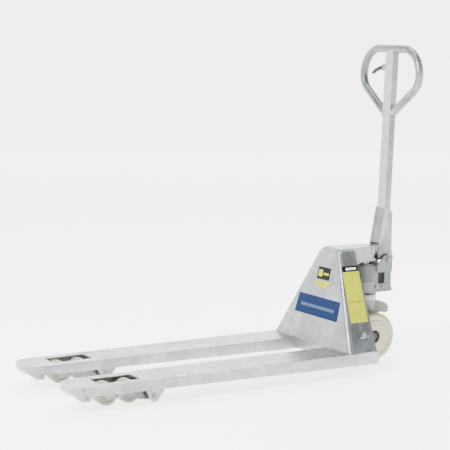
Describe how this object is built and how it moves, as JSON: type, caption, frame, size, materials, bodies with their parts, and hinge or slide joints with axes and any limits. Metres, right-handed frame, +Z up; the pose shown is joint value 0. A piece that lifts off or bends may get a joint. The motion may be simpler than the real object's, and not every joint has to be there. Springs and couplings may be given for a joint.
{
  "type": "pallet jack",
  "caption": "Galvanised hand pallet jack with a lifting fork frame, linked load rollers, steered hydraulic pump and loop handle.",
  "frame": {"origin": "on the floor, under the middle of the bounding box", "axes": "+X along the forks from their tips towards the handle, +Y across to the operator's right when facing the load, +Z up"},
  "size_m": [1.5402, 0.54, 1.2382],
  "materials": {
    "galvanised": "hot-dip galvanised, dull spangle",
    "cast_paint": "grey-green paint over cast iron",
    "steel": "zinc plated",
    "chrome_rod": "ground and plated",
    "nylon": "cream cast nylon",
    "roller_nylon": "worn nylon",
    "black_plastic": "moulded",
    "rubber": "seal rubber",
    "dark_cast": "dark grey paint"
  },
  "bodies": {
    "yoke": {"yoke": "galvanised", "thrust_bearing": "steel"},
    "chassis": {"fork_left": "galvanised", "fork_right": "galvanised", "tower_shell": "galvanised", "head_cap": "galvanised", "ram_seat": "cast_paint", "cross_member": "galvanised", "rocker_shaft": "steel", "shaft_bushes": "steel", "shaft_bolts": "steel", "entry_pins": "steel", "arm_shafts": "steel"},
    "entry_roller_left": {"entry_roller_left": "roller_nylon"},
    "entry_roller_right": {"entry_roller_right": "roller_nylon"},
    "rocker": {"rocker": "galvanised"},
    "push_rod_left": {"push_rod_left": "steel"},
    "push_rod_right": {"push_rod_right": "steel"},
    "roller_arm_left": {"roller_arm_left": "galvanised"},
    "roller_arm_right": {"roller_arm_right": "galvanised"},
    "bogie_left": {"bogie_left": "galvanised", "bogie_pins_left": "steel", "roller_axles_left": "steel"},
    "bogie_right": {"bogie_right": "galvanised", "bogie_pins_right": "steel", "roller_axles_right": "steel"},
    "load_roller_1": {"load_roller_1": "roller_nylon"},
    "load_roller_2": {"load_roller_2": "roller_nylon"},
    "load_roller_3": {"load_roller_3": "roller_nylon"},
    "load_roller_4": {"load_roller_4": "roller_nylon"},
    "pump": {"foot_casting": "cast_paint", "pump_body": "cast_paint", "pump_cylinder": "steel", "plunger_housing": "dark_cast", "seal_ring": "rubber", "valve_block": "cast_paint", "filler_plug": "black_plastic", "pump_bolts": "steel", "steer_axle": "steel", "axle_clips": "steel", "pivot_pin": "steel"},
    "ram": {"ram": "chrome_rod"},
    "steer_wheel_left": {"wheel_left": "nylon", "bearing_left": "steel"},
    "steer_wheel_right": {"wheel_right": "nylon", "bearing_right": "steel"},
    "handle": {"handle_socket": "galvanised", "handle_tube": "galvanised", "handle_loop": "galvanised", "socket_pins": "steel", "lever_bracket": "steel", "lever_pin": "steel"},
    "cam_roller": {"cam_roller": "steel"},
    "plunger": {"plunger": "chrome_rod", "plunger_spring": "steel"},
    "control_lever": {"control_lever": "black_plastic"},
    "release_rod": {"release_rod": "steel"},
    "valve_lever": {"valve_lever": "steel"}
  },
  "joints": [
    {"name": "lift", "type": "slide", "parent": "yoke", "child": "chassis", "axis": [0, 0, 1], "range_m": [0, 0.115]},
    {"name": "rocker_turn", "type": "hinge", "parent": "chassis", "child": "rocker", "pos_m": [0.464, 0, 0.145], "axis": [0, 1, 0], "range_deg": [0, 72.1]},
    {"name": "push_rod_left_slide", "type": "slide", "parent": "chassis", "child": "push_rod_left", "axis": [-1, 0, 0], "range_m": [0, 0.0542]},
    {"name": "roller_arm_left_turn", "type": "hinge", "parent": "chassis", "child": "roller_arm_left", "pos_m": [-0.4477, 0.19, 0.0246], "axis": [0, -1, 0], "range_deg": [0, 64]},
    {"name": "bogie_left_turn", "type": "hinge", "parent": "roller_arm_left", "child": "bogie_left", "pos_m": [-0.566, 0.19, 0.04], "axis": [0, 1, 0], "range_deg": [0, 64]},
    {"name": "entry_roller_left_spin", "type": "hinge", "parent": "chassis", "child": "entry_roller_left", "pos_m": [-0.713, 0.19, 0.05], "axis": [0, 1, 0], "continuous": true},
    {"name": "push_rod_right_slide", "type": "slide", "parent": "chassis", "child": "push_rod_right", "axis": [-1, 0, 0], "range_m": [0, 0.0542]},
    {"name": "roller_arm_right_turn", "type": "hinge", "parent": "chassis", "child": "roller_arm_right", "pos_m": [-0.4477, -0.19, 0.0246], "axis": [0, -1, 0], "range_deg": [0, 64]},
    {"name": "bogie_right_turn", "type": "hinge", "parent": "roller_arm_right", "child": "bogie_right", "pos_m": [-0.566, -0.19, 0.04], "axis": [0, 1, 0], "range_deg": [0, 64]},
    {"name": "entry_roller_right_spin", "type": "hinge", "parent": "chassis", "child": "entry_roller_right", "pos_m": [-0.713, -0.19, 0.05], "axis": [0, 1, 0], "continuous": true},
    {"name": "load_roller_1_spin", "type": "hinge", "parent": "bogie_left", "child": "load_roller_1", "pos_m": [-0.6095, 0.19, 0.04], "axis": [0, 1, 0], "continuous": true},
    {"name": "load_roller_2_spin", "type": "hinge", "parent": "bogie_left", "child": "load_roller_2", "pos_m": [-0.5225, 0.19, 0.04], "axis": [0, 1, 0], "continuous": true},
    {"name": "load_roller_3_spin", "type": "hinge", "parent": "bogie_right", "child": "load_roller_3", "pos_m": [-0.6095, -0.19, 0.04], "axis": [0, 1, 0], "continuous": true},
    {"name": "load_roller_4_spin", "type": "hinge", "parent": "bogie_right", "child": "load_roller_4", "pos_m": [-0.5225, -0.19, 0.04], "axis": [0, 1, 0], "continuous": true},
    {"name": "steer", "type": "hinge", "parent": "yoke", "child": "pump", "pos_m": [0.636, 0, 0.24], "axis": [0, 0, 1], "range_deg": [-90, 90]},
    {"name": "ram_rise", "type": "slide", "parent": "pump", "child": "ram", "axis": [0, 0, 1], "range_m": [0, 0.115]},
    {"name": "steer_wheel_left_spin", "type": "hinge", "parent": "pump", "child": "steer_wheel_left", "pos_m": [0.636, 0.0555, 0.095], "axis": [0, 1, 0], "continuous": true},
    {"name": "steer_wheel_right_spin", "type": "hinge", "parent": "pump", "child": "steer_wheel_right", "pos_m": [0.636, -0.0555, 0.095], "axis": [0, 1, 0], "continuous": true},
    {"name": "handle_tilt", "type": "hinge", "parent": "pump", "child": "handle", "pos_m": [0.718, 0, 0.393], "axis": [0, 1, 0], "range_deg": [0, 78], "stiffness_Nm_per_rad": 24, "springref_deg": -28.65},
    {"name": "cam_roller_spin", "type": "hinge", "parent": "handle", "child": "cam_roller", "pos_m": [0.744, 0, 0.397], "axis": [0, 1, 0], "continuous": true},
    {"name": "plunger_stroke", "type": "slide", "parent": "pump", "child": "plunger", "axis": [0, 0, -1], "range_m": [0, 0.036], "deforming": ["plunger_spring"]},
    {"name": "control_lever_turn", "type": "hinge", "parent": "handle", "child": "control_lever", "pos_m": [0.75102, 0.036, 1.14928], "axis": [0.999, 0, -0.0436], "range_deg": [-12, 14], "stiffness_Nm_per_rad": 1.5},
    {"name": "release_rod_slide", "type": "slide", "parent": "handle", "child": "release_rod", "axis": [0.0436, 0, 0.999], "range_m": [-0.0069, 0.0059]},
    {"name": "valve_lever_turn", "type": "hinge", "parent": "pump", "child": "valve_lever", "pos_m": [0.691, 0.06, 0.322], "axis": [0, 1, 0], "range_deg": [-12.01, 14.01]}
  ],
  "couplings": [
    {"joint": "rocker_turn", "follows": "lift", "rad_per_m": 10.942},
    {"joint": "ram_rise", "follows": "lift", "ratio": 1},
    {"joint": "plunger_stroke", "follows": "handle_tilt", "m_per_rad": 0.026444},
    {"joint": "release_rod_slide", "follows": "control_lever_turn", "m_per_rad": -0.028},
    {"joint": "valve_lever_turn", "follows": "control_lever_turn", "ratio": 1},
    {"joint": "push_rod_left_slide", "follows": "lift", "ratio": 0.4713},
    {"joint": "roller_arm_left_turn", "follows": "lift", "rad_per_m": 9.7131},
    {"joint": "bogie_left_turn", "follows": "lift", "rad_per_m": 9.7131},
    {"joint": "push_rod_right_slide", "follows": "lift", "ratio": 0.4713},
    {"joint": "roller_arm_right_turn", "follows": "lift", "rad_per_m": 9.7131},
    {"joint": "bogie_right_turn", "follows": "lift", "rad_per_m": 9.7131}
  ]
}
